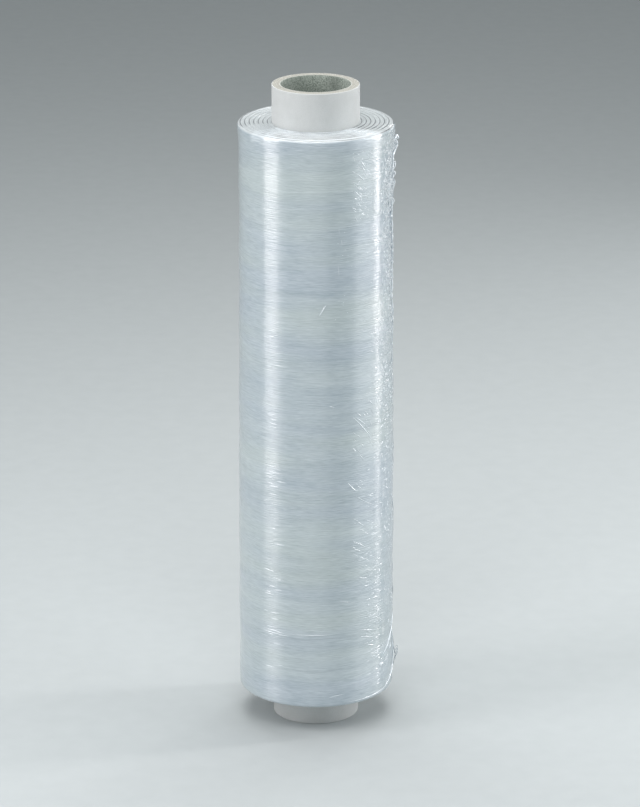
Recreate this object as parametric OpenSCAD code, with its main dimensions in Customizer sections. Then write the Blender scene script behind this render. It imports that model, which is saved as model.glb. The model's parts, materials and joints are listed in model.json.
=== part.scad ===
// A hand roll of stretch wrap: clear film wound on a paperboard core that stands out
// at both ends, standing upright on the core. Millimetres, +Z up along the core.
// The origin is on the core's axis, at its bottom end.

/* [Core] */
// Inside diameter of the paperboard core
core_bore = 52; // [38:0.5:80]
// Thickness of the core's wall
core_wall = 7; // [3:0.5:12]
// Rounding of the core's cut edges
core_edge = 0.6; // [0.2:0.1:1.2]
// How far the core stands out of the film at the top
core_top_reach = 29; // [10:1:60]
// How far the core stands out of the film at the bottom
core_bottom_reach = 24; // [10:1:60]

/* [Film] */
// Width of the film, which is the height of the wound part
film_width = 450; // [250:5:500]
// Thickness of the film wound on the core
film_build = 25.5; // [14:0.5:50]
// Rounding of the wound part's two rims
rim_radius = 2.5; // [1:0.25:4]

/* [End faces] */
// Distance from one turn that has crept out of line to the next
turn_spacing = 3.4; // [3:0.1:6]
// Width of such a turn
turn_width = 2; // [1:0.1:2.2]
// How far such a turn stands out at the top, and is sunk at the bottom
turn_shift = 0.6; // [0.2:0.1:1.2]
// How far such a turn strays from an even spiral
turn_wander = 0.25; // [0:0.05:0.3]

/* [Thick and thin bands] */
// Length of one thick and thin band along the roll
band_length = 56; // [40:1:120]
// How far the bands swell and narrow the roll
band_depth = 0.3; // [0.1:0.05:0.5]
// Height above the film's lower end at which the roll is fullest
fullest_height = 104; // [60:2:200]
// Height above the film's lower end at which the roll has its waist
waist_height = 408; // [220:2:440]
// How far the roll is fuller and slimmer there
waist_depth = 0.6; // [0.1:0.05:1]
// How far the film's stiff upper edge flares the roll
top_flare = 1.1; // [0.2:0.05:1.5]
// How far the film's stiff lower edge flares the roll
bottom_flare = 0.3; // [0.1:0.05:1]
// How far along the roll a flare reaches
flare_reach = 13; // [8:1:30]

/* [Loose end] */
// Where the film's loose end lies, counted from +X towards +Y
tail_angle = 4; // [-180:1:180]
// Length of film behind the loose end that no longer clings
tail_length = 40; // [16:1:60]
// Thickness that stands for the puckered layers of the loose end
tail_thickness = 0.6; // [0.5:0.05:1]
// How far the edge of the loose end stands off the roll
tail_lift = 0.45; // [0.2:0.05:0.5]
// How far the loose end curls out near the top
top_curl = 2.6; // [1.2:0.1:4]
// Distance of the top curl from the top end of the film
top_curl_depth = 16; // [12:1:60]
// How far the loose end curls out near the bottom
bottom_curl = 2.1; // [1.2:0.1:4]
// Distance of the bottom curl from the bottom end of the film
bottom_curl_height = 27; // [16:1:60]
// Length of roll over which a curl rises and falls
curl_span = 12; // [8:1:24]
// How far the torn edge strays from a straight line
tail_fray = 1.4; // [0:0.1:2.5]

/* [Hidden] */

core_r = core_bore / 2 + core_wall;
core_length = core_bottom_reach + film_width + core_top_reach;
film_r = core_r + film_build;
film_bottom = core_bottom_reach;
film_top = film_bottom + film_width;

// Steps of a rounded edge, of one turn of the spiral, and of one band
edge_steps = 5;
turn_steps = 40;
band_steps = 5;

// The stray of the spiral repeats after this many turns
wander_turns = 2.6;
// The crept turns keep this far from the core and from the rounded rim
turn_margin = 0.8;
// The share of its width that a crept turn keeps at its two tips
turn_tip = 0.15;
// How deep a piece of the film reaches into the roll that it is joined to
root = 1;

// Columns across the loose end, and the distance between its rings
tail_columns = 10;
tail_ring_pitch = 5;
// The loose end leaves the roll from this far under its surface
tail_start = 0.25;
// How the loose end and its curls peel off: 1 is a straight ramp, more is a late bend
tail_peel = 1.3;
curl_peel = 5;
// Lengths of the long and the short waves of the torn edge, and the long ones' share
fray_long = 61;
fray_short = 17;
fray_share = 0.6;

// Points of a quarter circle, from angle a0 to angle a0 + 90
function corner(x, y, r, a0) =
    [for (i = [0 : edge_steps])
        let (a = a0 + 90 * i / edge_steps)
            [x + r * cos(a), y + r * sin(a)]];

// Share from 0 to 1 of a swelling that dies away over a reach
function fade(distance, reach) = exp(-pow(distance / reach, 2));

// Outside radius of the wound film at a height above its bottom end. One slow wave
// falls from the fullest height to the waist.
function roll_r(h) =
    film_r
    + waist_depth * cos(180 * (h - fullest_height) / (waist_height - fullest_height))
    + band_depth * sin(360 * h / band_length)
    + bottom_flare * fade(h, flare_reach)
    + top_flare * fade(film_width - h, flare_reach);

// Heights of the points that the outside of the roll is drawn through
band_count = ceil((film_width - 2 * rim_radius) / (band_length / band_steps));
function band_h(i) = rim_radius + (film_width - 2 * rim_radius) * i / band_count;

// How much further than the rest of the loose end its edge stands off in the two curls
function curl_rise(h) =
    (top_curl - tail_lift) * fade(film_width - top_curl_depth - h, curl_span / 2)
    + (bottom_curl - tail_lift) * fade(h - bottom_curl_height, curl_span / 2);

// Height of the loose end above the roll's surface, at a share of the way to its edge
function tail_height(h, share) =
    (tail_lift + tail_start) * pow(share, tail_peel) - tail_start
    + curl_rise(h) * pow(share, curl_peel);

// Distance of the torn edge from its straight line, along the roll's surface
function fray(h) =
    tail_fray * fray_share * sin(360 * h / fray_long)
    + tail_fray * (1 - fray_share) * sin(360 * h / fray_short);

// Radius of the crept turns' middle line after turning through an angle
turn_first_r = core_r + turn_margin + turn_width / 2 + turn_wander;
turn_last_r = film_r - rim_radius - turn_margin - turn_width / 2 - turn_wander;
turn_sweep = 360 * (turn_last_r - turn_first_r) / turn_spacing;
function turn_r(a) =
    turn_first_r + turn_spacing * a / 360 + turn_wander * sin(a / wander_turns);

// Half the width of a crept turn, which thins to a tip at both ends of the spiral
function half_turn(a) =
    let (from_tip = min(a, turn_sweep - a) / 180)
        turn_width / 2 * min(1, turn_tip + (1 - turn_tip) * from_tip);

function turn_point(a, side) =
    let (
        r = turn_r(a) + side * half_turn(a),
        direction = a - turn_sweep + tail_angle
    )
        [r * cos(direction), r * sin(direction)];

// The line of the turns that have crept out of line, seen from above
module crept_turns_outline() {
    count = ceil(turn_sweep / 360 * turn_steps);
    angles = [for (i = [0 : count]) turn_sweep * i / count];
    polygon(concat(
        [for (a = angles) turn_point(a, 1)],
        [for (i = [count : -1 : 0]) turn_point(angles[i], -1)]
    ));
}

// The wound body: a straight bore on the core, rounded rims, and a side that swells
// and narrows with the film's thick and thin bands and flares at its stiff edges
module wound_body() {
    rim_bottom = roll_r(rim_radius) - rim_radius;
    rim_top = roll_r(film_width - rim_radius) - rim_radius;
    translate([0, 0, film_bottom])
        rotate_extrude($fn = 180)
            polygon(concat(
                [[core_r, 0]],
                corner(rim_bottom, rim_radius, rim_radius, -90),
                [for (i = [1 : band_count - 1]) [roll_r(band_h(i)), band_h(i)]],
                corner(rim_top, film_width - rim_radius, rim_radius, 0),
                [[core_r, film_width]]
            ));
}

// One ring of the loose end: its outer skin from the root to the edge, then its
// inner skin back to the root
function tail_ring(h) =
    let (
        surface = roll_r(h),
        span = (tail_length + fray(h)) / film_r * 180 / PI,
        start = tail_angle - tail_length / film_r * 180 / PI,
        shares = [for (i = [0 : tail_columns]) i / tail_columns],
        outer = [for (s = shares) surface + tail_height(h, s)],
        inner = [for (r = outer) max(surface - root - tail_start, r - tail_thickness)]
    )
        concat(
            [for (i = [0 : tail_columns])
                let (a = start + span * shares[i])
                    [outer[i] * cos(a), outer[i] * sin(a), h]],
            [for (i = [tail_columns : -1 : 0])
                let (a = start + span * shares[i])
                    [inner[i] * cos(a), inner[i] * sin(a), h]]
        );

// The film's loose end, clinging less and less towards its torn edge, with a curl
// near the top and another near the bottom
module loose_end() {
    first = rim_radius;
    last = film_width - rim_radius;
    rings = ceil((last - first) / tail_ring_pitch);
    per_ring = 2 * (tail_columns + 1);
    points = [for (k = [0 : rings]) each tail_ring(first + (last - first) * k / rings)];
    skin = [for (k = [0 : rings - 1], j = [0 : per_ring - 1])
        let (
            a = k * per_ring + j,
            b = k * per_ring + (j + 1) % per_ring
        )
            each [[a, a + per_ring, b], [b, a + per_ring, b + per_ring]]];
    // Each end is closed by a strip between its outer and inner skins
    function cap(base, flip) =
        [for (i = [0 : tail_columns - 1])
            let (
                a = base + i,
                b = base + i + 1,
                c = base + per_ring - 1 - i,
                d = base + per_ring - 2 - i
            )
                each flip ? [[a, c, b], [b, c, d]] : [[a, b, c], [b, d, c]]];
    translate([0, 0, film_bottom])
        polyhedron(points, concat(skin, cap(0, false), cap(rings * per_ring, true)));
}

// The paperboard core, a straight tube with softly rounded cut edges
module core() {
    inner_r = core_bore / 2;
    color([0.87, 0.87, 0.84])
        rotate_extrude($fn = 180)
            polygon(concat(
                corner(inner_r + core_edge, core_edge, core_edge, 180),
                corner(core_r - core_edge, core_edge, core_edge, 270),
                corner(core_r - core_edge, core_length - core_edge, core_edge, 0),
                corner(inner_r + core_edge, core_length - core_edge, core_edge, 90)
            ));
}

// All the turns of the film. The web keeps its width, so a turn that has crept up
// stands out of the top face and leaves a channel in the bottom face.
module film_roll() {
    color([0.79, 0.85, 0.88, 0.9])
        difference() {
            union() {
                wound_body();
                translate([0, 0, film_top - root])
                    linear_extrude(root + turn_shift)
                        crept_turns_outline();
                loose_end();
            }
            translate([0, 0, film_bottom - root])
                linear_extrude(root + turn_shift)
                    crept_turns_outline();
        }
}

core();
film_roll();
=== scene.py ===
# A hand roll of stretch wrap, standing on its paperboard core. The CAD core keeps its
# shape and gets its paper. The wound film is rebuilt with its relief and its loose end.
import json
import math

import bpy
import numpy as np
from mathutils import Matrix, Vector


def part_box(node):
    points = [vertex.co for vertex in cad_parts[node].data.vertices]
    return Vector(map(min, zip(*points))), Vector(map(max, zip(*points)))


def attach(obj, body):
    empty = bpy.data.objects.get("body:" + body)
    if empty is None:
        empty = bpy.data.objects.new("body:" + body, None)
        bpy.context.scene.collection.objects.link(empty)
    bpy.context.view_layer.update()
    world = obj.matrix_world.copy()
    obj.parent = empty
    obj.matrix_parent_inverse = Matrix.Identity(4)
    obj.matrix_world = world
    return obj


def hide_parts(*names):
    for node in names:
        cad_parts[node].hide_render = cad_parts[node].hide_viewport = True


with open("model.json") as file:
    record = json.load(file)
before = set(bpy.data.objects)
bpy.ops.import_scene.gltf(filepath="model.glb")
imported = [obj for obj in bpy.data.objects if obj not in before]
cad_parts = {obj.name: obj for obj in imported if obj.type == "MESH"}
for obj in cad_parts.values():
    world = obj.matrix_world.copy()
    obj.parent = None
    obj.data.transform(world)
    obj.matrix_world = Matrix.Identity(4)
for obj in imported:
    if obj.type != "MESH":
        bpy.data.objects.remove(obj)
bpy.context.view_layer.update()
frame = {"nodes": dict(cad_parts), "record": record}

MM = 0.001

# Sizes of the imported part

core_low, core_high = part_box("core")
film_low, film_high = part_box("film_roll")
mount_of = {m["name"]: m for m in frame["record"]["mounts"]}
TURN_SHIFT = 0.6 * MM
CORE_R = core_high.x
CORE_LENGTH = core_high.z - core_low.z
BORE_R = mount_of["core_bore"]["dims"]["r_mm"] * MM
CORE_EDGE = 0.6 * MM
FILM_BOTTOM = film_low.z
FILM_TOP = film_high.z - TURN_SHIFT

# The wound film

FILM_BUILD = 25.5 * MM
FILM_R = CORE_R + FILM_BUILD
FILM_MIDDLE = (FILM_BOTTOM + FILM_TOP) / 2
FILM_HALF = (FILM_TOP - FILM_BOTTOM) / 2
RIM = 2.5 * MM

# The turns that have crept out of line. The inset is how far the middle of the first and the
# last one keeps from the core and from the rounded rim.
TURN_SPACING = 3.4 * MM
TURN_WIDTH = 2.0 * MM
TURN_INSET = 2.05 * MM
TURN_FIRST_R = CORE_R + TURN_INSET
TURN_LAST_R = CORE_R + FILM_BUILD - RIM - TURN_INSET

# Steps of the wound film's mesh
COLUMNS = 232
WALL_STEP = 1.7 * MM
FACE_STEP = 0.34 * MM
RIM_STEPS = 9

# The loose end. Angles are counted from +X towards +Y.

TAIL_ANGLE = math.radians(4)
TAIL_LENGTH = 40 * MM
TAIL_FIRST_ANGLE = TAIL_ANGLE - TAIL_LENGTH / FILM_R
TAIL_START = 0.02 * MM
TAIL_LIFT = 0.45 * MM
TAIL_PEEL = 1.3
TAIL_COLUMNS = 72
TAIL_STEP = 1.0 * MM
TOP_CURL = 2.6 * MM
TOP_CURL_Z = FILM_TOP - 16 * MM
BOTTOM_CURL = 2.1 * MM
BOTTOM_CURL_Z = FILM_BOTTOM + 27 * MM
CURL_SPAN = 12 * MM
CURL_PEEL = 5

# Lengths of the torn edge's long and short waves and of its nicks
FRAY_LONG = 61 * MM
FRAY_SHORT = 17 * MM
FRAY_NICK = 2.2 * MM

# The loose end's thickness, how much thicker a curl is for its rise, and how deep its inner
# skin may reach under the roll's wall
TAIL_THICKNESS = 0.35 * MM
CURL_THICKENING = 0.8
TAIL_DEPTH = 0.45 * MM

# The loose end is nearly smooth up to one height and fully wrinkled from another. Sharper
# ridges leave wider cells between the wrinkles.
WRINKLE_HEIGHT = 0.34 * MM
RIDGE_SHARPNESS = 2.2
CALM_UP_TO = 280 * MM
WRINKLED_FROM = 440 * MM

# The core's spiral seams

SEAM_PITCH = 95 * MM
OUTER_SEAM_ANGLE = math.radians(14)
INNER_SEAM_ANGLE = math.radians(100)


# Noise and soft steps

def noise(u, v, period, seed):
    """Smooth noise from -1 to 1 on a lattice of random values that closes after period cells
    of u."""
    bottom = math.floor(np.min(v))
    rows = math.ceil(np.max(v)) - bottom + 2
    lattice = np.random.default_rng(seed).uniform(-1, 1, (rows, period))
    column, row = np.floor(u).astype(int), np.floor(v).astype(int)
    across, along = u - column, v - row
    across = across * across * (3 - 2 * across)
    along = along * along * (3 - 2 * along)
    row = row - bottom
    left, right = column % period, (column + 1) % period
    low = lattice[row, left] * (1 - across) + lattice[row, right] * across
    high = lattice[row + 1, left] * (1 - across) + lattice[row + 1, right] * across
    return low * (1 - along) + high * along


def round_noise(angle, z, cells_round, cell_height, seed):
    """Noise over the roll's side or an end, with that many cells round it and that cell
    height."""
    return noise(angle / (2 * math.pi) * cells_round, z / cell_height, cells_round, seed)


def smoothstep(low, high, value):
    """0 below low, 1 above high, and a soft rise between them."""
    share = np.clip((value - low) / (high - low), 0, 1)
    return share * share * (3 - 2 * share)


def fade(distance, reach):
    """Share from 0 to 1 of something that dies away over a reach."""
    return np.exp(-((distance / reach) ** 2))


# Meshes

SHARP_ANGLE = math.radians(65)


def grid_faces(rows, columns, closed_rows=False, closed_columns=False):
    """Quads over a grid of points, row after row, that may close on itself either way."""
    row, column = np.meshgrid(
        np.arange(rows if closed_rows else rows - 1),
        np.arange(columns if closed_columns else columns - 1),
        indexing="ij",
    )
    near = row * columns
    far = (row + 1) % rows * columns
    beside = (column + 1) % columns
    return np.stack([near + column, near + beside, far + beside, far + column], -1).reshape(-1, 4)


def volume(points, faces):
    """Signed volume of a closed mesh, which is negative where its faces look inwards."""
    triangles = [
        (face[0], face[i], face[i + 1]) for face in faces for i in range(1, len(face) - 1)
    ]
    first, second, third = points[np.array(triangles)].transpose(1, 0, 2)
    return (first * np.cross(second, third)).sum() / 6


def add_piece(name, points, faces, material, replaced=()):
    """A smooth closed piece that rides on the part's one body, with its faces turned outwards."""
    points = np.asarray(points).reshape(-1, 3)
    faces = [list(face) for face in faces]
    if volume(points, faces) < 0:
        faces = [face[::-1] for face in faces]
    mesh = bpy.data.meshes.new(name)
    mesh.from_pydata(points.tolist(), [], faces)
    mesh.materials.append(material)
    mesh.shade_smooth()
    mesh.set_sharp_from_angle(angle=SHARP_ANGLE)
    piece = bpy.data.objects.new(name, mesh)
    bpy.context.scene.collection.objects.link(piece)
    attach(piece, "root")
    if replaced:
        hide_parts(*replaced)
    return piece


def on_roll(radius, angle, z):
    """Points at a radius, an angle from +X and a height."""
    radius, angle, z = np.broadcast_arrays(radius, angle, z)
    return np.stack([radius * np.cos(angle), radius * np.sin(angle), z], -1)


# Materials

class Nodes:
    """A material's node tree, built one node at a time."""

    def __init__(self, name):
        self.material = bpy.data.materials.new(name)
        self.material.use_nodes = True
        self.tree = self.material.node_tree
        self.shader = self.tree.nodes["Principled BSDF"]

    def set(self, **values):
        """Sets the shader's sockets: a node's output is linked, and a plain value is written."""
        for name, value in values.items():
            self.fill(self.shader.inputs[name.replace("_", " ")], value)

    def fill(self, socket, value):
        if isinstance(value, bpy.types.NodeSocket):
            self.tree.links.new(value, socket)
        else:
            socket.default_value = value

    def add(self, kind, inputs, output=0, **settings):
        """A node of that kind, with its inputs by number or name, and one of its outputs."""
        node = self.tree.nodes.new("ShaderNode" + kind)
        for name, value in settings.items():
            setattr(node, name, value)
        for key, value in inputs.items():
            self.fill(node.inputs[key], value)
        return node.outputs[output]

    def math(self, operation, *values):
        return self.add("Math", dict(enumerate(values)), operation=operation)

    def product(self, first, *others):
        """Several values multiplied together."""
        for other in others:
            first = self.math("MULTIPLY", first, other)
        return first

    def object_point(self):
        return self.add("TexCoord", {}, "Object")

    def split(self, vector):
        """The x, y and z of a vector."""
        node = self.tree.nodes.new("ShaderNodeSeparateXYZ")
        self.fill(node.inputs[0], vector)
        return node.outputs[0], node.outputs[1], node.outputs[2]

    def join(self, x, y, z):
        return self.add("CombineXYZ", {"X": x, "Y": y, "Z": z})

    def from_axis(self, x, y):
        """Distance from the roll's axis."""
        return self.add("VectorMath", {0: self.join(x, y, 0.0)}, "Value", operation="LENGTH")

    def stretched(self, point, x, y, z):
        """A point with each of its values scaled, so that noise over it is stretched."""
        return self.add("VectorMath", {0: point, 1: (x, y, z)}, operation="MULTIPLY")

    def noise(self, point, scale=1.0, detail=2.0, roughness=0.5):
        """Noise around 0.5 over a point."""
        inputs = {"Vector": point, "Scale": scale, "Detail": detail, "Roughness": roughness}
        return self.add("TexNoise", inputs)

    def ramp(self, value, *stops):
        """A soft step through (place, colour or grey) stops."""
        node = self.tree.nodes.new("ShaderNodeValToRGB")
        elements = node.color_ramp.elements
        while len(elements) < len(stops):
            elements.new(0.5)
        for element, (place, shade) in zip(elements, stops):
            element.position = place
            element.color = (*shade, 1) if isinstance(shade, tuple) else (shade, shade, shade, 1)
        self.fill(node.inputs[0], value)
        return node.outputs[0]

    def mix(self, share, low, high):
        """A colour between two colours."""
        return self.add(
            "Mix",
            {
                "Factor": share,
                6: (*low, 1) if isinstance(low, tuple) else low,
                7: (*high, 1) if isinstance(high, tuple) else high,
            },
            2,
            data_type="RGBA",
        )

    def bump(self, height, distance, normal=None):
        inputs = {"Height": height, "Distance": distance, "Strength": 1.0}
        if normal is not None:
            inputs["Normal"] = normal
        return self.add("Bump", inputs)


# The film, from its depth to its milky and greenish turns, and where it is cut or bent. Its white
# also paints highlights and glints, its dark blue also paints shade along edges and in hollows,
# and the gap colour is painted shade
FILM_DEEP = (0.338, 0.418, 0.474)
FILM_MILKY = (0.52, 0.592, 0.645)
FILM_GREEN_DEEP = (0.405, 0.48, 0.492)
FILM_GREEN_MILKY = (0.56, 0.638, 0.648)
FILM_END = (0.70, 0.73, 0.727)
FILM_GAP_SHADE = (0.07, 0.09, 0.10)
FILM_WHITE_AND_HIGHLIGHT = (0.80, 0.87, 0.91)
FILM_DARK_AND_SHADE = (0.08, 0.14, 0.19)

# Depth of an end face's look, and how far the painted highlight on the upper rim beside the front
# reaches down from the rim
FACE_DEPTH = 1.2 * MM
RIM_HIGHLIGHT_DEPTH = 9 * MM
# How far round the roll the loose end takes to turn loose
LOOSE_BLEND = math.radians(10)
# The two halves of the roll read their streaks this far apart, so they differ
HALVES_APART = 0.4
# How far streaks stray from a level line, slowly and quickly, and their relief
STREAK_DRIFT = 5 * MM
STREAK_RIPPLE = 0.7 * MM
STREAK_RELIEF = 0.33 * MM
# How much the single turns show that are darker or whiter than the rest
RARE_TURN = 0.12


def streak_point(nodes, point, radius, off_middle):
    """Where the film's streaks are read. Its third value runs across the wall and the end
    faces alike, and strays a little, so that streaks run round the roll on both."""
    x, y, _ = nodes.split(point)
    apart_x = nodes.math("MULTIPLY_ADD", nodes.math("SIGN", off_middle), HALVES_APART, x)
    skin = nodes.math("SUBTRACT", radius, nodes.math("ABSOLUTE", off_middle))
    drift = nodes.noise(nodes.stretched(point, 18, 18, 30), detail=1)
    ripple = nodes.noise(nodes.stretched(point, 62, 62, 45), detail=1)
    level = nodes.math("MULTIPLY_ADD", drift, STREAK_DRIFT, skin)
    return nodes.join(apart_x, y, nodes.math("MULTIPLY_ADD", ripple, STREAK_RIPPLE, level))


def turn_gap_shade(nodes, point, angle, radius):
    """Painted shade in the narrow gap outside each turn that has crept out of line, stronger in
    patches and towards the right side.
    """
    turn = nodes.math("DIVIDE", nodes.math("SUBTRACT", radius, TURN_LAST_R), TURN_SPACING)
    swept = nodes.math("DIVIDE", nodes.math("SUBTRACT", angle, TAIL_ANGLE), 2 * math.pi)
    turn = nodes.math("SUBTRACT", turn, swept)
    off_edge = nodes.math("SUBTRACT", turn, TURN_WIDTH / TURN_SPACING / 2)
    gap = nodes.ramp(nodes.math("PINGPONG", off_edge, 0.5), (0.06, 1.0), (0.13, 0.0))
    patches = nodes.ramp(nodes.noise(point, 30, detail=1), (0.36, 0.15), (0.50, 1.0))
    to_right = nodes.math("DIVIDE", nodes.split(point)[0], FILM_R)
    right_side = nodes.ramp(to_right, (0.50, 0.0), (0.66, 0.4))
    return nodes.math("MULTIPLY", gap, nodes.math("MAXIMUM", patches, right_side))


def crackle(nodes, point, loose):
    """The net of loose film: the share of its white edges and specks, partly its creases and
    partly painted glints, and that of its painted shade in the hollows."""
    x, y, z = nodes.split(point)
    bend = nodes.noise(nodes.stretched(point, 260, 260, 200), detail=2)
    bent = nodes.join(x, y, nodes.math("MULTIPLY_ADD", bend, 3 * MM, z))
    cells = nodes.add(
        "TexVoronoi",
        {"Vector": nodes.stretched(bent, 620, 620, 430), "Scale": 1.0},
        "Distance",
        feature="DISTANCE_TO_EDGE",
    )
    strength = nodes.noise(nodes.stretched(point, 45, 45, 30), detail=2)
    strength = nodes.product(nodes.ramp(strength, (0.36, 0.35), (0.58, 1.0)), loose)
    edges = nodes.product(nodes.ramp(cells, (0.0, 1.0), (0.18, 0.0)), strength, 0.7)
    crumple = nodes.noise(nodes.stretched(point, 780, 780, 600), detail=1)
    specks = nodes.product(nodes.ramp(crumple, (0.53, 0.0), (0.61, 1.0)), strength)
    dent_shade = nodes.product(nodes.ramp(crumple, (0.36, 1.0), (0.46, 0.0)), strength)
    return nodes.math("MAXIMUM", edges, specks), dent_shade


def film_material(name, streaks=1.0, white_highlight=0.0, net=False, spread=1.0, edge_shade=0.0, drawn_out=1.0):
    """Clear film in many turns: milky, glossy, and drawn round the roll in fine streaks, whose
    relief is scaled by streaks. A share of white may be painted over all of it as highlight. A
    net is the white crackle of loose film, partly its creases and partly painted glints, with
    painted shade in its hollows, and it comes in softly past the line where the loose end leaves
    the roll. A spread below 1 narrows the shine, and drawn_out is how far the streaks draw it out
    across them. A share of dark blue paints the shade that the film shows along its edge between
    highlights."""
    nodes = Nodes(name)
    point = nodes.object_point()
    x, y, z = nodes.split(point)
    radius = nodes.from_axis(x, y)
    angle = nodes.math("ARCTAN2", y, x)
    height_share = nodes.math("DIVIDE", z, CORE_LENGTH)
    off_middle = nodes.math("SUBTRACT", z, FILM_MIDDLE)
    on_face = nodes.math(
        "GREATER_THAN", nodes.math("ABSOLUTE", off_middle), FILM_HALF - FACE_DEPTH
    )

    # Fine and broad streaks round the roll, over slow bands of a bluer and a greener film
    drawn = streak_point(nodes, point, radius, off_middle)
    fine = nodes.noise(nodes.stretched(drawn, 120, 120, 1400), detail=1, roughness=0.7)
    lines = nodes.noise(nodes.stretched(drawn, 42, 42, 1900), detail=0)
    broad = nodes.noise(nodes.stretched(drawn, 9, 9, 150), detail=3, roughness=0.6)
    bands = nodes.noise(nodes.stretched(point, 7, 7, 36), detail=2)
    milky = nodes.math("MULTIPLY_ADD", fine, 0.6, nodes.math("MULTIPLY", lines, 0.2))
    milky = nodes.math("MULTIPLY_ADD", broad, 0.4, milky)
    milky = nodes.ramp(milky, (0.42, 0.0), (0.78, 1.0))
    green = nodes.ramp(bands, (0.36, 0.0), (0.64, 1.0))
    deep_shade = nodes.mix(green, FILM_DEEP, FILM_GREEN_DEEP)
    milky_shade = nodes.mix(green, FILM_MILKY, FILM_GREEN_MILKY)
    shade = nodes.mix(milky, deep_shade, milky_shade)

    # Single turns that show as long thin lines, darker or whiter than the rest
    rare = nodes.noise(nodes.stretched(drawn, 9, 9, 640), detail=0)
    most = RARE_TURN * streaks
    shade = nodes.mix(nodes.ramp(rare, (0.74, 0.0), (0.82, most)), shade, FILM_DARK_AND_SHADE)
    shade = nodes.mix(nodes.ramp(rare, (0.17, most), (0.25, 0.0)), shade, FILM_WHITE_AND_HIGHLIGHT)

    # The end faces, with painted shade in the narrow gap outside each crept turn, and a painted
    # highlight that whitens the front of the top face, which goes by the angle from the front in
    # radians
    shade = nodes.mix(nodes.math("MULTIPLY", on_face, 0.6), shade, FILM_END)
    to_front = nodes.math("ABSOLUTE", nodes.math("ADD", angle, math.pi / 2))
    outwards = nodes.math("DIVIDE", nodes.math("SUBTRACT", radius, CORE_R), FILM_BUILD)
    front = nodes.product(
        nodes.ramp(to_front, (0.70, 0.95), (0.95, 0.0)),
        on_face,
        nodes.math("GREATER_THAN", z, FILM_MIDDLE),
        nodes.ramp(outwards, (0.0, 0.95), (0.85, 0.3)),
    )
    shade = nodes.mix(front, shade, FILM_WHITE_AND_HIGHLIGHT)
    # Painted shade in the narrow gap between crept turns on the end faces
    gap_shade = nodes.math("MULTIPLY", turn_gap_shade(nodes, point, angle, radius), on_face)
    # Under the painted highlight at the front of the top face the painted gap shade is weaker
    shade = nodes.mix(nodes.math("MULTIPLY_ADD", front, -0.6, gap_shade), shade, FILM_GAP_SHADE)

    # A painted highlight that runs over the upper rim on both sides of the white front
    near_rim = nodes.math("SUBTRACT", z, FILM_TOP - RIM_HIGHLIGHT_DEPTH)
    near_rim = nodes.math("DIVIDE", near_rim, RIM_HIGHLIGHT_DEPTH)
    rim_highlight = nodes.product(
        nodes.ramp(near_rim, (0.0, 0.0), (0.75, 1.0)),
        nodes.ramp(to_front, (0.56, 0.0), (0.74, 1.0), (0.93, 1.0), (1.0, 0.0)),
        nodes.ramp(fine, (0.35, 0.25), (0.6, 0.65)),
    )
    shade = nodes.mix(rim_highlight, shade, FILM_WHITE_AND_HIGHLIGHT)
    relief = nodes.bump(
        broad, nodes.math("MULTIPLY_ADD", on_face, 0.8 * MM, 0.08 * MM * streaks)
    )

    # Loose film, which is looser high up and darker towards its torn edge with painted shade
    loose, thin = 1.0, edge_shade
    if net:
        past = nodes.math("SUBTRACT", angle, TAIL_FIRST_ANGLE)
        upwards = nodes.ramp(height_share, (0.40, 0.25), (0.90, 1.0))
        loose = nodes.product(nodes.ramp(past, (0.0, 0.0), (LOOSE_BLEND, 1.0)), upwards)
        # The painted edge shade grows from where the loose end leaves the roll towards its torn
        # edge
        thin = nodes.ramp(past, (0.0, 0.0), (0.28, edge_shade), (0.55, 2.6 * edge_shade))
    if edge_shade:
        shade = nodes.mix(thin, shade, FILM_DARK_AND_SHADE)
    if net:
        # White crackle, partly painted as glints, and painted shade in its hollows
        edges, dent_shade = crackle(nodes, point, loose)
        shade = nodes.mix(nodes.math("MULTIPLY", dent_shade, 0.2), shade, FILM_DARK_AND_SHADE)
        shade = nodes.mix(edges, shade, FILM_WHITE_AND_HIGHLIGHT)
        relief = nodes.bump(edges, 0.45 * MM, relief)
    # White painted over the whole film as its highlight
    if white_highlight:
        shade = nodes.mix(white_highlight, shade, FILM_WHITE_AND_HIGHLIGHT)

    # The streaks' relief, which is lower in some places, low down and on loose film
    calm = nodes.noise(nodes.stretched(point, 7, 7, 26), detail=1)
    height = nodes.product(
        nodes.ramp(calm, (0.40, 0.6), (0.60, 1.0)),
        nodes.ramp(height_share, (0.25, 0.75), (0.60, 1.0)),
        nodes.math("MULTIPLY_ADD", loose, STREAK_RELIEF * (streaks - 1), STREAK_RELIEF),
    )
    height = nodes.math("MULTIPLY_ADD", on_face, 0.4 * MM, height)
    relief = nodes.bump(nodes.math("MULTIPLY_ADD", lines, 0.5, fine), height, relief)

    rough = nodes.ramp(broad, (0.35, 0.31), (0.65, 0.37))
    nodes.set(
        Base_Color=shade,
        Roughness=nodes.product(rough, nodes.math("MULTIPLY_ADD", loose, spread - 1, 1.0)),
        Normal=relief,
        Tangent=nodes.add("Tangent", {}, direction_type="RADIAL", axis="Z"),
        IOR=2.1,
        Anisotropic=drawn_out,
        Anisotropic_Rotation=0.25,
        Coat_Weight=0.8,
        Coat_Roughness=0.12,
        Coat_IOR=1.6,
        Coat_Normal=relief,
    )
    return nodes.material


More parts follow.
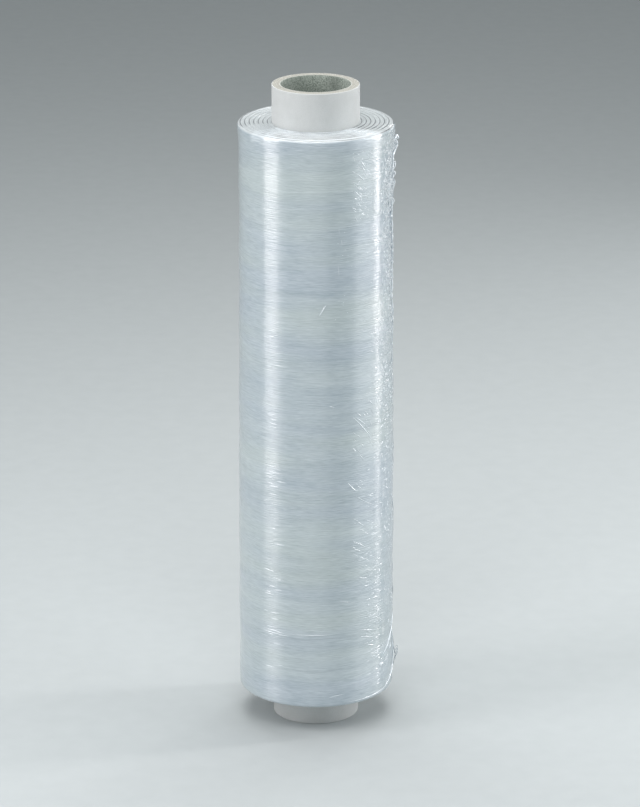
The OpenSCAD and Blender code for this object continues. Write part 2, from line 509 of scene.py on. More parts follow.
# The core's off-white liner with its mottling, the grey board inside, darker in broad patches,
# the plies of the cut ends, the frayed inner lip with a dark ring next to the bore, and the
# joints
LINER_DARK = (0.545, 0.565, 0.56)
LINER_LIGHT = (0.594, 0.613, 0.608)
LINER_MOTTLE = (0.516, 0.536, 0.526)
BOARD_DARK = (0.20, 0.235, 0.205)
BOARD_LIGHT = (0.48, 0.53, 0.48)
BOARD_DARK_PATCH = (0.15, 0.175, 0.155)
PLY_DARK = (0.30, 0.295, 0.26)
PLY_LIGHT = (0.47, 0.47, 0.43)
PLY_LINE = (0.27, 0.26, 0.22)
LIP_LIGHT = (0.50, 0.525, 0.49)
LIP_DARK_RING = (0.10, 0.115, 0.09)
JOINT = (0.20, 0.20, 0.17)


def paper_material():
    """The core's board: an off-white liner outside, grey board inside, and plies at the cut
    ends. It goes by the share of the wall's thickness from the bore to the outside."""
    nodes = Nodes("paperboard")
    point = nodes.object_point()
    x, y, z = nodes.split(point)
    wall = nodes.math("SUBTRACT", nodes.from_axis(x, y), BORE_R)
    wall = nodes.math("DIVIDE", wall, CORE_R - BORE_R)
    fibres = nodes.noise(point, 1300, 3, 0.7)
    specks = nodes.noise(point, 1050, 2, 0.7)
    dark_patches = nodes.noise(point, 26, 2)
    mottle = nodes.noise(point, 110, 2)
    ply = nodes.noise(nodes.join(wall, nodes.math("MULTIPLY", z, 4.0), 0.5), 9, 1)
    speckled = nodes.ramp(specks, (0.38, 0.0), (0.60, 1.0))
    liner = nodes.mix(nodes.ramp(fibres, (0.35, 0.0), (0.65, 1.0)), LINER_DARK, LINER_LIGHT)
    liner = nodes.mix(nodes.ramp(mottle, (0.4, 0.0), (0.65, 0.35)), liner, LINER_MOTTLE)
    board = nodes.mix(speckled, BOARD_DARK, BOARD_LIGHT)
    # The board is darker in broad patches
    board = nodes.mix(nodes.ramp(dark_patches, (0.45, 0.0), (0.60, 0.6)), board, BOARD_DARK_PATCH)
    plies = nodes.mix(speckled, PLY_DARK, PLY_LIGHT)
    plies = nodes.mix(nodes.ramp(ply, (0.45, 0.0), (0.6, 0.4)), plies, PLY_LINE)
    lip = nodes.mix(nodes.ramp(wall, (0.03, 0.0), (0.07, 1.0)), board, LIP_LIGHT)
    cut = nodes.mix(nodes.ramp(wall, (0.10, 0.0), (0.16, 1.0)), lip, plies)
    # A dark ring on the cut faces next to the bore
    frayed = nodes.math("MULTIPLY_ADD", specks, 0.05, wall)
    dark_ring = nodes.ramp(frayed, (0.035, 0.0), (0.05, 1.0), (0.075, 1.0), (0.10, 0.0))
    cut = nodes.mix(nodes.math("MULTIPLY", dark_ring, 0.8), cut, LIP_DARK_RING)
    skin = nodes.mix(nodes.ramp(wall, (0.91, 0.0), (0.94, 1.0)), cut, liner)

    # The butt joints of the spirally wound outer and inner plies
    angle = nodes.math("DIVIDE", nodes.math("ARCTAN2", y, x), 2 * math.pi)
    start = nodes.math(
        "MULTIPLY_ADD",
        nodes.math("GREATER_THAN", wall, 0.5),
        (OUTER_SEAM_ANGLE - INNER_SEAM_ANGLE) / (2 * math.pi),
        INNER_SEAM_ANGLE / (2 * math.pi),
    )
    turn = nodes.math("SUBTRACT", angle, start)
    turn = nodes.math("SUBTRACT", turn, nodes.math("DIVIDE", z, SEAM_PITCH))
    seam = nodes.ramp(nodes.math("PINGPONG", turn, 0.5), (0.0, 1.0), (0.005, 0.0))
    skin = nodes.mix(nodes.math("MULTIPLY", seam, 0.45), skin, JOINT)
    relief = nodes.bump(fibres, 0.10 * MM)
    nodes.set(
        Base_Color=skin,
        Roughness=nodes.ramp(fibres, (0.3, 0.72), (0.7, 0.88)),
        Normal=nodes.bump(nodes.math("MULTIPLY", seam, -1.0), 0.15 * MM, relief),
        Specular_IOR_Level=0.35,
    )
    return nodes.material


film = film_material("film")
loose_film = film_material("loose_film", streaks=0.6, net=True, spread=0.6, edge_shade=0.16)
# Folds and curls painted white as their highlight
folded_film = film_material("folded_film", streaks=0.2, white_highlight=0.7, spread=0.6, drawn_out=0.5)
curled_film = film_material("curled_film", streaks=0.2, white_highlight=1.0, spread=0.6, drawn_out=0.5)
# Film painted dark blue all over as the shade along the torn edge, its shadow cord and the
# strands
edge_shade_film = film_material("edge_shade_film", streaks=0.2, spread=0.5, edge_shade=0.5, drawn_out=0.5)
paper = paper_material()


# The core

CUT_STEP = 0.3 * MM
TUBE_STEP = 6 * MM
EDGE_STEPS = 6

# The relief of a cut end: its plies and its torn fibres, each so many mm deep, which die
# away over a distance from its edges
CUT_RELIEF = 0.05
CUT_FADE = 0.8 * MM
PLY_PITCH = 0.7 * MM
TEAR_CELL = 0.5 * MM
TEAR_CELLS_ROUND = 160


def core_section():
    """The core's half section up the bore, over the top cut, down the outside and back under:
    radius, height, and the share that is a cut face, which is -1 at the bottom."""
    low, high = CORE_EDGE, CORE_LENGTH - CORE_EDGE
    inner, outer = BORE_R + CORE_EDGE, CORE_R - CORE_EDGE
    heights = np.linspace(low, high, round((high - low) / TUBE_STEP))
    radii = np.linspace(inner, outer, round((outer - inner) / CUT_STEP))

    def corner(r, z, first):
        turns = np.radians(np.linspace(first, first - 90, EDGE_STEPS)[1:-1])
        return [(r + CORE_EDGE * math.cos(a), z + CORE_EDGE * math.sin(a), 0) for a in turns]

    rows = [(BORE_R, z, 0) for z in heights]
    rows += corner(inner, high, 180)
    rows += [(r, CORE_LENGTH, 1) for r in radii]
    rows += corner(outer, high, 90)
    rows += [(CORE_R, z, 0) for z in heights[::-1]]
    rows += corner(outer, low, 0)
    rows += [(r, 0, -1) for r in radii[::-1]]
    rows += corner(inner, low, -90)
    return np.array(rows).T[..., None]


def cut_relief(angle, radius):
    """The slightly torn plies of a cut end, which stay under the flat of the cut."""
    plies = 0.5 + 0.5 * np.cos(2 * math.pi * (radius - BORE_R) / PLY_PITCH)
    torn = round_noise(angle, radius, TEAR_CELLS_ROUND, TEAR_CELL, 31)
    edge = smoothstep(0, CUT_FADE, np.minimum(radius - BORE_R, CORE_R - radius) - CORE_EDGE)
    return -(CUT_RELIEF * plies + CUT_RELIEF * (1 + torn)) * MM * edge


radius, z, cut = core_section()
angle = np.arange(COLUMNS)[None, :] * 2 * math.pi / COLUMNS
core_points = on_roll(radius, angle, z + cut * cut_relief(angle, radius))
core_faces = grid_faces(len(radius), COLUMNS, closed_rows=True, closed_columns=True)
add_piece("core_tube", core_points, core_faces, paper, ["core"])


# The wound film

def cad_wall(node):
    """Heights and radii of a CAD roll's wall, read on the side away from its loose end."""
    points = np.array([v.co for v in node.data.vertices])
    radii = np.hypot(points[:, 0], points[:, 1])
    wall = (radii > 0.9 * radii.max()) & (points[:, 0] < 0)
    heights = points[:, 2].round(5)
    rings = np.unique(heights[wall])
    return rings, np.array([radii[wall & (heights == z)].max() for z in rings])


ring_z, ring_r = cad_wall(frame["nodes"]["film_roll"])
BLEND_SPAN = 12 * MM
BLEND_STEPS = 24


def wall_radius(z):
    """The CAD roll's radius at a height, with its rings joined by a soft curve."""
    shifts = np.linspace(-BLEND_SPAN / 2, BLEND_SPAN / 2, BLEND_STEPS)
    heights = np.add.outer(np.asarray(z, float), shifts)
    heights = np.clip(heights, FILM_BOTTOM + RIM, FILM_TOP - RIM)
    return np.interp(heights, ring_z, ring_r).mean(-1)


def roll_section():
    """The wound film's half section from the core round the outside and back: radius, height,
    the direction that it faces, the share that is wall, and the share that is end face, which
    is -1 at the bottom."""
    low, high = FILM_BOTTOM + RIM, FILM_TOP - RIM
    low_r, high_r = wall_radius(low) - RIM, wall_radius(high) - RIM
    rings = round((low_r - CORE_R) / FACE_STEP)
    rows = [(r, FILM_BOTTOM, -90, 0, -1) for r in np.linspace(CORE_R, low_r, rings)]
    for turn in np.linspace(-90, 0, RIM_STEPS)[1:]:
        a = math.radians(turn)
        rows.append((low_r + RIM * math.cos(a), low + RIM * math.sin(a), turn, 0, 0))
    heights = np.linspace(low, high, round((high - low) / WALL_STEP))
    rows += [(wall_radius(z), z, 0, 1, 0) for z in heights[1:]]
    for turn in np.linspace(0, 90, RIM_STEPS)[1:]:
        a = math.radians(turn)
        rows.append((high_r + RIM * math.cos(a), high + RIM * math.sin(a), turn, 0, 0))
    rows += [(r, FILM_TOP, 90, 0, 1) for r in np.linspace(high_r, CORE_R, rings)[1:]]
    return np.array(rows).T[..., None]


# Half the width over which a crept turn's edge rises, and how often its height changes a turn
TURN_EDGE = 0.25 * MM
HEIGHTS_A_TURN = 2.3
# The fine turns between: their share of the crept turns' height, their pitch, and how far
# they wind outwards in a turn
FINE_TURN_SHARE = 0.06
FINE_TURN_PITCH = 0.7 * MM
FINE_TURN_ADVANCE = 0.2 * MM
# Next to the core the end faces stay flat over this distance
FLAT_AT_CORE = 1.2 * MM


def crept_turns(angle, radius):
    """How far the turns have crept out of line: a spiral of soft ridges, taller in some turns."""
    number = (radius - TURN_LAST_R) / TURN_SPACING - (angle - TAIL_ANGLE) / (2 * math.pi)
    off_line = np.abs(number - np.round(number)) * TURN_SPACING
    ridge = 1 - smoothstep(TURN_WIDTH / 2 - TURN_EDGE, TURN_WIDTH / 2 + TURN_EDGE, off_line)
    along = angle / (2 * math.pi) + np.round(number)
    height = 0.5 + 0.5 * noise(along * HEIGHTS_A_TURN, 0 * along, 97, 5)
    spiral = smoothstep(-0.5, 0.5, (radius - TURN_FIRST_R) / TURN_SPACING + 0.5)
    spiral = spiral * smoothstep(-0.5, 0.5, (TURN_LAST_R - radius) / TURN_SPACING + 0.5)
    wound = radius + FINE_TURN_ADVANCE * along
    fine = FINE_TURN_SHARE * round_noise(angle, wound, 5, FINE_TURN_PITCH, 6)
    off_core = smoothstep(0, FLAT_AT_CORE, radius - CORE_R)
    return (ridge * height * spiral + fine) * off_core


def wall_relief(angle, z):
    """Fine thick and thin lines in the film, which run round the roll and stray a little from
    level, and its broad lumps."""
    stray = 4 * MM * round_noise(angle, z, 5, 90 * MM, 11)
    fine_stray = 3 * MM * round_noise(angle, z, 9, 50 * MM, 13)
    lines = 0.013 * round_noise(angle, z + stray, 7, 7 * MM, 12)
    lines += 0.010 * round_noise(angle, z + fine_stray, 13, 3.5 * MM, 14)
    lumps = 0.10 * round_noise(angle, z, 5, 46 * MM, 15)
    return (lines + lumps) * MM


radius, z, facing, is_wall, is_face = roll_section()
facing = np.radians(facing)
face_shift = TURN_SHIFT * crept_turns(angle, radius) * is_face
wall_shift = wall_relief(angle, z) * is_wall
roll_points = on_roll(radius + wall_shift * np.cos(facing), angle, z + face_shift)
roll_faces = grid_faces(len(radius), COLUMNS, closed_rows=True, closed_columns=True)
add_piece("film_turns", roll_points, roll_faces, film, ["film_roll"])


# The loose end

def curl_rise(z):
    """How much further than the rest of the loose end its edge stands off in the two curls."""
    top = (TOP_CURL - TAIL_LIFT) * fade(z - TOP_CURL_Z, CURL_SPAN / 2)
    bottom = (BOTTOM_CURL - TAIL_LIFT) * fade(z - BOTTOM_CURL_Z, CURL_SPAN / 2)
    return top + bottom


def torn_edge(z):
    """Distance of the torn edge from its straight line, along the roll's surface."""
    waves = 0.9 * np.sin(z / FRAY_LONG * 2 * math.pi)
    waves = waves + 0.5 * np.sin(z / FRAY_SHORT * 2 * math.pi)
    return (waves + 0.5 * noise(0 * z, z / FRAY_NICK, 3, 41)) * MM


def tail_share(angle, z):
    """Share of the way from where the loose end leaves the roll to its torn edge."""
    last = TAIL_ANGLE + torn_edge(z) / FILM_R
    return (angle - TAIL_FIRST_ANGLE) / (last - TAIL_FIRST_ANGLE)


def wrinkles(angle, z):
    """The net of sharp little folds in the loose film: thin ridges with shallow cells between."""
    shift = 0.9 * round_noise(angle, z, 90, 5 * MM, 51) * MM
    turned = angle + shift / FILM_R
    coarse = 1 - np.abs(round_noise(turned, z + shift, 150, 4.0 * MM, 52)) * RIDGE_SHARPNESS
    small = 1 - np.abs(round_noise(turned, z - shift, 240, 2.2 * MM, 53)) * RIDGE_SHARPNESS
    return 0.62 * coarse + 0.38 * small


def tail_height(angle, z):
    """Height of the loose end's skin above the roll's wall."""
    share = np.clip(tail_share(angle, z), 0, 1)
    lift = -TAIL_START + (TAIL_LIFT + TAIL_START) * share ** TAIL_PEEL
    lift = lift + curl_rise(z) * share ** CURL_PEEL
    upper = smoothstep(CALM_UP_TO, WRINKLED_FROM, z)
    crumpled = smoothstep(0.12 * (1 - upper), 0.6 - 0.3 * upper, share) * (0.25 + 0.75 * upper)
    edge_waves = 0.25 * MM * noise(0 * z, z / (9 * MM), 3, 42) * share ** 3
    return lift + edge_waves + WRINKLE_HEIGHT * wrinkles(angle, z) * crumpled


LEAST_THICKNESS = 0.02 * MM


def sheet(angles, heights, outer_r, thickness, floor_r):
    """Points and faces of a thin closed sheet over a grid of angles and heights. Its inner
    skin stays above the floor's radius, and a hair below the outer skin."""
    rows, columns = angles.shape
    inner_r = np.maximum(outer_r - thickness, floor_r)
    inner_r = np.minimum(inner_r, outer_r - LEAST_THICKNESS)
    outer = on_roll(outer_r, angles, heights)
    inner = on_roll(inner_r, angles, heights)[:, ::-1]
    points = np.concatenate([outer, inner], 1)
    ring = 2 * columns
    faces = grid_faces(rows, ring, closed_columns=True).tolist()
    for base, flip in ((0, False), ((rows - 1) * ring, True)):
        for i in range(columns - 1):
            cap = [base + i, base + ring - 1 - i, base + ring - 2 - i, base + i + 1]
            faces.append(cap[::-1] if flip else cap)
    return points, faces


def tail_skin(angle, z):
    """Radius of the loose end's outer skin."""
    return wall_radius(z) + tail_height(angle, z)


tail_rings = round((FILM_TOP - FILM_BOTTOM) / TAIL_STEP)
heights = np.linspace(FILM_BOTTOM + RIM, FILM_TOP - RIM, tail_rings)
shares = np.linspace(0, 1, TAIL_COLUMNS)
last_angle = TAIL_ANGLE + torn_edge(heights)[:, None] / FILM_R
tail_angles = TAIL_FIRST_ANGLE + (last_angle - TAIL_FIRST_ANGLE) * shares[None, :]
tail_z = np.broadcast_to(heights[:, None], tail_angles.shape)
tail_points, tail_faces = sheet(
    tail_angles,
    tail_z,
    tail_skin(tail_angles, tail_z),
    TAIL_THICKNESS + CURL_THICKENING * curl_rise(tail_z),
    wall_radius(tail_z) - TAIL_DEPTH,
)
add_piece("film_tail", tail_points, tail_faces, loose_film)


# Folds, which are seated on the film

def skin_radius(azimuth, z):
    """Radius of the film's visible skin at an azimuth in degrees from the front towards +X."""
    angle = np.radians(np.asarray(azimuth, float) - 90)
    on_tail = (angle > TAIL_FIRST_ANGLE) & (tail_share(angle, z) <= 1)
    loose = np.where(on_tail, tail_height(angle, z), 0)
    return wall_radius(z) + np.maximum(wall_relief(angle, z), loose)


# The share of its width that a cord keeps at its two tips, the length of its beads, and how
# lumpy they make a strand
CORD_TIP = 0.12
BEAD_LENGTH = 1.7 * MM
STRAND_BEADS = 0.35
# The middle of a fold lies above the film by this share of its height, and that of a fold on
# the top face lies above the end face by this much
FOLD_RISE = 0.15
FACE_FOLD_RISE = 0.35 * MM
FACE_FOLD_STEPS = 8


def cord(path, width, height, sides=6, up=None, beads=0.0):
    """A closed string along a path of points, thinned to both of its ends. Its height counts
    away from the roll's axis, or up from an end face, and beads make it lumpy."""
    path = np.asarray(path)
    along = np.gradient(path, axis=0)
    along /= np.linalg.norm(along, axis=1)[:, None]
    outward = path * (1, 1, 0) if up is None else np.broadcast_to(up, path.shape)
    across = np.cross(outward, along)
    across /= np.linalg.norm(across, axis=1)[:, None]
    outward = np.cross(along, across)
    share = np.linspace(0, 1, len(path))
    size = (CORD_TIP + (1 - CORD_TIP) * np.sin(math.pi * share) ** 0.6) / 2
    size = size * (1 + beads * noise(0 * share, path[:, 2] / BEAD_LENGTH, 3, 61))
    turn = (np.arange(sides) * 2 * math.pi / sides)[None, :, None]
    ring = across[:, None] * np.cos(turn) * width + outward[:, None] * np.sin(turn) * height
    points = path[:, None] + ring * size[:, None, None]
    faces = grid_faces(len(path), sides, closed_columns=True).tolist()
    faces += [list(range(sides))[::-1], list(range((len(path) - 1) * sides, len(path) * sides))]
    return points.reshape(-1, 3), faces


def smooth_path(places, step=0.8 * MM):
    """Evenly spaced (azimuth, height, lift) places along a soft curve through chosen ones."""
    places = np.array(places, float)
    metres = places * (math.pi / 180 * FILM_R, 1, 1)
    reach = np.concatenate([[0], np.cumsum(np.linalg.norm(np.diff(metres, axis=0), axis=1))])
    count = max(6, round(reach[-1] / step))
    fine = np.linspace(0, reach[-1], count)
    curve = np.stack([np.interp(fine, reach, places[:, k]) for k in range(3)], -1)
    if len(places) > 2:
        for _ in range(3):
            curve[1:-1] = (curve[:-2] + 2 * curve[1:-1] + curve[2:]) / 4
    return curve


def fold(places, width, height, beads=0.0):
    """A thin raised fold that lies on the film along (azimuth, height in mm) places."""
    curve = smooth_path([(azimuth, z * MM, 0) for azimuth, z in places])
    radius = skin_radius(curve[:, 0], curve[:, 1]) + FOLD_RISE * height
    path = on_roll(radius, np.radians(curve[:, 0] - 90), curve[:, 1])
    return cord(path, width, height, beads=beads)


def face_fold(places, width, height):
    """A thin raised fold on the top face along (azimuth, radius in mm) places."""
    places = np.array(places, float)
    steps = np.linspace(0, len(places) - 1, FACE_FOLD_STEPS)
    azimuth, radius = (np.interp(steps, range(len(places)), places[:, k]) for k in (0, 1))
    path = on_roll(radius * MM, np.radians(azimuth - 90), FILM_TOP + FACE_FOLD_RISE)
    return cord(path, width, height, up=(0, 0, 1))


def strand(places, width, height):
    """A free strand along (azimuth, height in mm, lift above the wall in mm) places."""
    curve = smooth_path([(azimuth, z * MM, lift * MM) for azimuth, z, lift in places], 0.4 * MM)
    radius = wall_radius(curve[:, 1]) + curve[:, 2]
    path = on_roll(radius, np.radians(curve[:, 0] - 90), curve[:, 1])
    return cord(path, width, height, beads=STRAND_BEADS)


def joined(pieces):
    """Several meshes as one."""
    points, faces = [], []
    for piece_points, piece_faces in pieces:
        faces += [[len(points) + i for i in face] for face in piece_faces]
        points += list(piece_points)
    return points, faces


# The folds and scratches that the photograph shows, as (azimuth, height in mm) places
SEEN_FOLDS = [
    [(34.5, 457), (39.8, 449.8)],
    [(31.8, 446.7), (38.7, 440.3)],
    [(36, 452), (40, 446)],
    [(29.7, 433.9), (36.4, 426.5)],
    [(33, 437), (37, 433)],
    [(7.7, 347.8), (2.6, 339.5)],
    [(43.2, 267.8), (47.3, 264.3)],
    [(10.1, 268.3), (13.9, 267.5)],
    [(28, 258.2), (35.3, 250.3), (44.7, 239)],
    [(31.9, 256.5), (39.4, 249.9)],
    [(24, 206.4), (28, 201.2), (32.1, 197.8)],
    [(31, 193.9), (38.7, 188.6), (48.6, 183.1)],
    [(33.2, 172.9), (38.6, 168.1)],
    [(27.8, 159.1), (34, 155), (41.9, 149.8)],
    [(29.5, 151.6), (32.8, 150.4)],
    [(34, 145), (43.9, 139)],
    [(34, 127.6), (42.6, 124.9)],
    [(37.6, 120.8), (44, 118.1)],
    [(18.1, 110.8), (25.8, 109.2)],
    [(-19.9, 83.9), (-3.2, 84.2), (15.1, 84.5)],
    [(-42.6, 84.9), (-26.1, 84.5)],
    [(-42.6, 82.8), (-28, 82.5)],
    [(10.3, 32.8), (22.3, 34.5)],
    [(52, 98.6), (56.2, 98.3)],
    [(52, 95.4), (55.3, 95.1)],
    [(47.5, 91.2), (56.3, 90.6)],
    [(49.8, 87.4), (55.4, 86.9)],
    [(50.6, 85.6), (56.3, 84.5)],
    [(35.3, 84.5), (52.1, 80.1)],
    [(35.3, 79), (51.4, 74.5)],
    [(42.2, 70.4), (51.4, 67.9)],
    [(50.7, 64.7), (58.3, 65.3)],
    [(51.5, 61.8), (58.3, 63.2)],
    [(45.6, 62), (53.1, 60.8)],
    [(45.6, 59.7), (52.3, 58.4)],
    [(52.5, 37.1), (57.6, 38)],
    [(51.7, 34.7), (57.6, 34.8)],
]

# Folds from this height up are painted as white as the crease, as highlight
WHITE_FROM = 200

# The long crease at the lower right, with its branches
CREASE = [
    [(88, 82), (87, 78), (82.1, 75.4), (80.5, 71.3), (76.2, 68.2), (72.8, 64.2), (69, 60.9),
     (65.2, 58.1), (60.8, 56)],
    [(80.5, 73), (84, 69), (86, 62), (86, 54), (86.5, 46), (85, 39), (80, 35.5), (73, 32),
     (65, 29.4)],
    [(78.5, 59.5), (72.9, 56.7)],
    [(60.9, 50.6), (56.6, 47.9)],
]

# The bright line along the lower rim, where the crease ends, a white cord that paints the rim's
# highlight
RIM_LINE = [(80, 33.5), (72, 30.2), (63, 28.2), (52, 27.4), (38, 27), (24, 27)]

# The rolled edge of the loose film along the right side, a shorter line beside it, and a dark
# cord between them that paints the shadow of the edge
ROLLED_EDGE = [
    (85, 437), (82.3, 428.2), (80.7, 420.4), (79.3, 412.6), (80.2, 402), (81, 392.4),
    (81.4, 380), (80.4, 366), (81.6, 352), (80.5, 340), (82, 326), (80.6, 312), (81.8, 300),
    (80.8, 286),
]
ROLLED_SIDE = [(72.1, 437), (71.8, 431), (70.6, 426), (70.1, 419.6), (70.4, 412)]
EDGE_SHADOW = [
    (82.4, 437), (78.6, 428), (76.6, 420), (75.6, 412), (76.2, 402), (77, 392), (77.4, 380),
    (76.4, 366),
]

rng = np.random.default_rng(7)


def scattered(count, azimuths, heights, lengths, slope):
    """Short seeded folds in a window of the film, along a slope in millimetres a degree."""
    folds = []
    for _ in range(count):
        azimuth = rng.uniform(*azimuths)
        z = rng.uniform(*heights)
        reach = rng.uniform(*lengths)
        rise = slope * reach + rng.uniform(-0.6, 0.6)
        folds.append([(azimuth, z), (azimuth + reach, z + rise)])
    return folds


# White folds at the front of the top face that paint the shine of its creases, as (azimuth,
# radius in mm) places
FACE_FOLDS = [
    [(38.5, 35.2), (43, 37.2)],
    [(42.5, 39.2), (46, 42.5)],
    [(44, 44.5), (47, 47.5)],
    [(45, 50.5), (47.5, 54)],
    [(-36, 38), (-29, 40.5)],
    [(-41, 44), (-36, 45.5)],
    [(-44, 50), (-42, 54)],
]

FINE_FOLDS = (
    scattered(24, (28, 46), (226, 264), (1.5, 4), -1.1)
    + scattered(26, (28, 46), (120, 210), (2, 5), -0.6)
    + scattered(60, (38, 57), (36, 150), (2, 6), 0.15)
    + scattered(20, (50, 68), (34, 66), (3, 7), 1.0)
    + scattered(30, (40, 54), (200, 455), (1, 2.5), -0.4)
    + scattered(46, (-43, -29), (36, 330), (4, 10), 0.0)
    + scattered(50, (41, 53), (60, 225), (2, 5), 0.2)
)

# Short white folds that paint the glitter of the crumpled film along the right side as glints,
# and the scuffs beside it
GLITTER = (
    scattered(160, (56, 84), (60, 464), (0.5, 1.2), 1.6)
    + scattered(130, (56, 84), (60, 464), (0.5, 1.2), -1.6)
    + scattered(110, (51, 66), (180, 464), (0.5, 1.4), 1.2)
)
SCUFFS = (
    scattered(24, (27, 46), (414, 462), (1.6, 4.5), -0.7)
    + scattered(18, (29, 46), (414, 462), (1, 2.5), -1.7)
    + scattered(18, (29, 48), (404, 463), (1, 2.4), 1.3)
    + scattered(64, (27, 51), (406, 464), (0.5, 0.8), -0.5)
    + scattered(22, (14, 40), (330, 404), (0.5, 0.8), -0.5)
)

# Faint upright scratches right of the middle
SCRATCHES = [[(17.3, 407), (17.5, 402)], [(19, 398), (19.8, 393)], [(16.5, 378), (17.3, 369)]]

# Little loops of the torn edge that stand out below the hook. A strand's places are
# (azimuth, height in mm, lift above the wall in mm).
EDGE_LOOPS = [
    [(85, 438.5, 0.6), (91, 440, 1.7), (91, 442.5, 1.6), (86, 444, 0.8)],
    [(85, 432.5, 0.5), (91, 433.4, 1.5), (91, 434.9, 1.3), (86, 436, 0.6)],
    [(85, 424, 0.5), (90, 425.6, 1.0), (90, 428.4, 1.1), (86, 430.5, 0.6)],
    [(86, 411, 0.4), (90, 412.2, 0.9), (90, 413.5, 0.8), (86, 415, 0.5)],
]

# The hook at the upper right with its knot, and a loop at the lower right, each with its
# width and height in mm
HOOK = [
    ([(81.5, 436, 0.4), (81, 441, 0.5), (82, 444, 0.6), (80.5, 448, 0.7), (81, 451.5, 1.0),
      (86, 453.2, 2.0), (90, 454.4, 2.9), (91, 456.5, 3.6), (91, 458.6, 3.3), (90, 459.6, 2.4)],
     1.8, 1.5),
    ([(91, 458.2, 3.2), (90, 459.5, 2.2), (88, 460.6, 1.4), (88, 461.9, 1.5), (90, 463.0, 2.8),
      (91, 461.2, 4.4), (91, 460.0, 2.8)], 1.1, 0.9),
    ([(85, 455, 1.2), (88, 457.5, 1.6), (89, 459.5, 1.8)], 0.6, 0.4),
    ([(87, 461.5, 0.9), (91, 463.6, 2.4), (91, 462.4, 3.8), (89, 460.8, 2.8)], 0.7, 0.6),
    ([(85, 451, 0.8), (89, 454.8, 2.3), (87, 457.6, 2.1), (91, 459.2, 3.6)], 0.6, 0.5),
    ([(92, 42, 2.2), (93, 44.5, 3.6), (93, 47.5, 4.1), (92, 49.5, 3.4), (92, 47, 2.4)],
     0.5, 0.4),
]

# The strands of see-through film beside them, drawn in the edge film's painted dark shade
CLEAR_STRANDS = [
    ([(90, 452, 1.2), (92, 453.6, 2.1), (92, 456, 2.9), (92, 458.2, 2.7)], 0.6, 0.5),
    ([(85, 66.7, 0.4), (89, 62, 0.9), (92, 58.6, 1.2), (92, 52.2, 1.5), (92, 47.9, 2.2),
      (92, 44.1, 3.0), (92, 40.4, 2.0), (91, 37.1, 1.4), (86, 35.5, 0.4)], 1.1, 0.6),
    ([(92, 50, 1.8), (92, 50.5, 3.2), (93, 51.6, 4.3), (93, 50.4, 4.9), (92, 48.8, 4.9),
      (92, 46.7, 4.4), (92, 45.4, 4.2), (92, 43.5, 3.6), (92, 42.5, 2.8), (92, 39.5, 3.2)],
     0.4, 0.3),
    ([(92, 47, 2.2), (93, 48.4, 3.8), (93, 49.6, 4.2), (92, 47.6, 4.6), (92, 44, 4.4)],
     0.35, 0.25),
]

grey_folds = [places for places in SEEN_FOLDS if places[0][1] < WHITE_FROM]
white_folds = [places for places in SEEN_FOLDS if places[0][1] >= WHITE_FROM]
folds = [fold(places, 0.65 * MM, 0.4 * MM) for places in grey_folds]
folds += [fold(places, 0.35 * MM, 0.22 * MM) for places in SCRATCHES]
folds += [fold(places, rng.uniform(0.35, 0.8) * MM, 0.32 * MM) for places in FINE_FOLDS]
fold_points, fold_faces = joined(folds)
add_piece("film_folds", fold_points, fold_faces, folded_film)

# The large crease, the rolled edge and the hook at the top of the loose end
curls = [fold(places, 1.3 * MM, 1.3 * MM) for places in CREASE]
curls.append(fold(RIM_LINE, 0.7 * MM, 0.6 * MM))
curls.append(fold(ROLLED_EDGE, 1.1 * MM, 1.0 * MM, beads=0.7))
curls.append(fold(ROLLED_SIDE, 0.8 * MM, 0.6 * MM, beads=0.6))
curls += [fold(places, rng.uniform(0.8, 1.6) * MM, 0.45 * MM) for places in GLITTER]
curls += [fold(places, rng.uniform(0.35, 0.8) * MM, 0.35 * MM) for places in SCUFFS]
curls += [fold(places, 0.8 * MM, 0.5 * MM) for places in white_folds]
curls += [strand(places, 1.1 * MM, 0.9 * MM) for places in EDGE_LOOPS]
curls += [face_fold(places, 1.6 * MM, 0.7 * MM) for places in FACE_FOLDS]
curls += [strand(places, width * MM, height * MM) for places, width, height in HOOK]
curl_points, curl_faces = joined(curls)
add_piece("film_curls", curl_points, curl_faces, curled_film)

# The torn edge of the loose end, the dark cord that paints the shadow beside the rolled edge, and
# the strands that curl out of it, all in film painted dark as shade
EDGE_MARGIN = 4 * MM
EDGE_STEP = 0.8 * MM
EDGE_INSET = 0.3 * MM
EDGE_SINK = 0.05 * MM
edge_z = np.arange(FILM_BOTTOM + EDGE_MARGIN, FILM_TOP - EDGE_MARGIN, EDGE_STEP)
edge_angle = TAIL_ANGLE + (torn_edge(edge_z) - EDGE_INSET) / FILM_R
edge_path = on_roll(tail_skin(edge_angle, edge_z) - EDGE_SINK, edge_angle, edge_z)
strands = [cord(edge_path, 0.8 * MM, 0.7 * MM), fold(EDGE_SHADOW, 0.7 * MM, 0.4 * MM)]
strands += [strand(places, width * MM, height * MM) for places, width, height in CLEAR_STRANDS]
strand_points, strand_faces = joined(strands)
add_piece("film_strands", strand_points, strand_faces, edge_shade_film)


# Floor, lights and camera

FLOOR_DARK = (0.45, 0.485, 0.49)
FLOOR_LIGHT = (0.49, 0.525, 0.53)
FLOOR_SIZE = 14


def stage_material():
    """Plain pale matt paper."""
    nodes = Nodes("pale_floor")
    grain = nodes.noise(nodes.object_point(), 60, 3)
    nodes.set(
        Base_Color=nodes.mix(grain, FLOOR_DARK, FLOOR_LIGHT),
        Roughness=0.8,
        Specular_IOR_Level=0.2,
    )
    return nodes.material


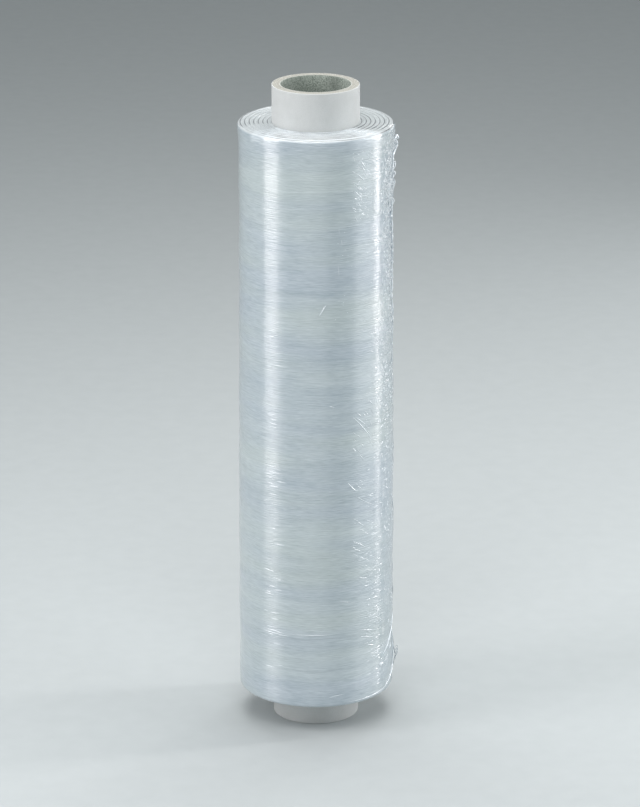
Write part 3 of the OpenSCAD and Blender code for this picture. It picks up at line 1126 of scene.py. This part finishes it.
floor_mesh = bpy.data.meshes.new("floor")
reach = FLOOR_SIZE / 2
floor_corners = [(-reach, -reach, 0), (reach, -reach, 0), (reach, reach, 0), (-reach, reach, 0)]
floor_mesh.from_pydata(floor_corners, [], [(0, 1, 2, 3)])
floor_mesh.materials.append(stage_material())
floor = bpy.data.objects.new("floor", floor_mesh)
bpy.context.scene.collection.objects.link(floor)


def softbox(name, azimuth, distance, middle_z, width, height, watts, colour=(1, 1, 1)):
    """A rectangular lamp that faces the roll. Azimuth 0 is the camera's side, and 90 is to its
    right."""
    lamp = bpy.data.lights.new(name, "AREA")
    lamp.shape = "RECTANGLE"
    lamp.size, lamp.size_y = width, height
    lamp.energy = watts
    lamp.color = colour
    box = bpy.data.objects.new(name, lamp)
    a = math.radians(azimuth)
    box.location = (distance * math.sin(a), -distance * math.cos(a), middle_z)
    aim = Vector((0, 0, AIM_Z)) - box.location
    box.rotation_euler = aim.to_track_quat("-Z", "Y").to_euler()
    bpy.context.scene.collection.objects.link(box)
    return box


CAMERA_DISTANCE = 3.146
CAMERA_ELEVATION = math.radians(18.493)
CAMERA_X = 3.2 * MM
AIM_Z = 0.2514
FOCAL_PIXELS = 4112.5
FRAME_LONG_SIDE = 807
SENSOR = 36

softbox("left_softbox", -68, 1.15, 0.72, 0.50, 1.10, 8.6, (1.0, 0.96, 0.97))
softbox("right_strip", 101.5, 1.15, 0.66, 0.12, 1.20, 6.0, (1.0, 0.95, 0.94))
softbox("right_fill", 76, 1.7, 0.75, 1.0, 1.3, 8.5, (0.96, 0.97, 1.0))
softbox("rim_strip", 150, 1.3, 0.70, 0.10, 1.1, 1.6)
softbox("top_softbox", 180, 0.45, 1.8, 1.2, 0.9, 16.2)
softbox("front_fill", -5, 1.35, 2.15, 1.4, 1.0, 21)

world = bpy.data.worlds.new("studio")
world.use_nodes = True
background = world.node_tree.nodes["Background"]
background.inputs["Color"].default_value = (0.84, 0.88, 0.90, 1)
background.inputs["Strength"].default_value = 0.38
bpy.context.scene.world = world

camera_data = bpy.data.cameras.new("camera")
camera_data.sensor_width = SENSOR
camera_data.lens = FOCAL_PIXELS * SENSOR / FRAME_LONG_SIDE
camera = bpy.data.objects.new("camera", camera_data)
camera.location = (
    CAMERA_X,
    -CAMERA_DISTANCE * math.cos(CAMERA_ELEVATION),
    AIM_Z + CAMERA_DISTANCE * math.sin(CAMERA_ELEVATION),
)
camera.rotation_euler = (math.pi / 2 - CAMERA_ELEVATION, 0, 0)
bpy.context.scene.collection.objects.link(camera)
bpy.context.scene.camera = camera
bpy.context.scene.view_settings.view_transform = "Standard"
